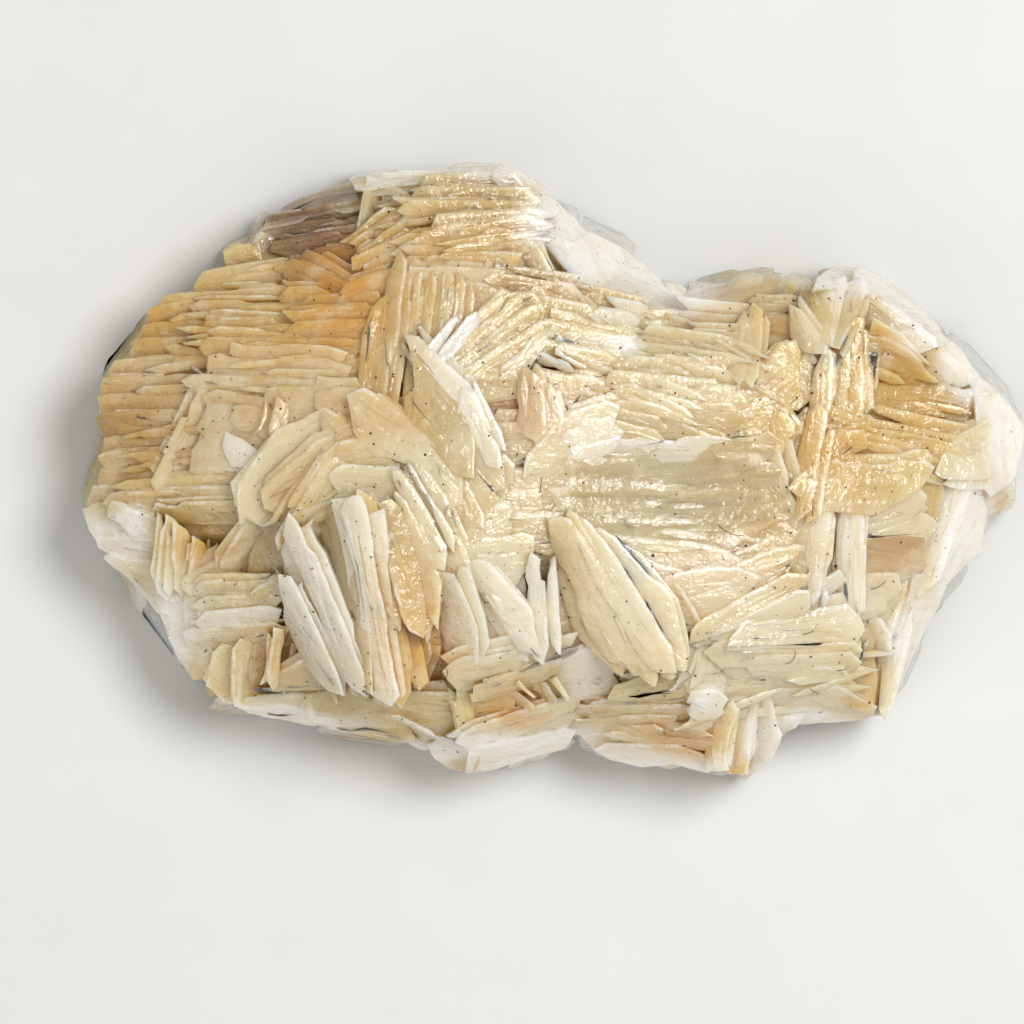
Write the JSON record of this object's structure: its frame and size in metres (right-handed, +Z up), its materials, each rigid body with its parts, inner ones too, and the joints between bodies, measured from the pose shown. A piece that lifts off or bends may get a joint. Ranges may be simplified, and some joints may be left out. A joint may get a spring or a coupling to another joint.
{
  "type": "barite crystal cluster",
  "caption": "Cabinet specimen of bladed barite: thin interlocking translucent cream, honey and white crystals fanned over a low massive base with a flat underside for resting on a shelf",
  "frame": {"origin": "Centre of the footprint of the bounding box, on the flat underside that the cluster rests on", "axes": "+Z up through the crystal crests, +X along the long side of the cluster towards the pointed white end, +Y towards the notched long side with the rounded lumps"},
  "size_m": [0.1198, 0.078, 0.0374],
  "materials": {
    "barite": "satin"
  },
  "bodies": {
    "root": {"barite_cluster": "barite"}
  },
  "joints": []
}
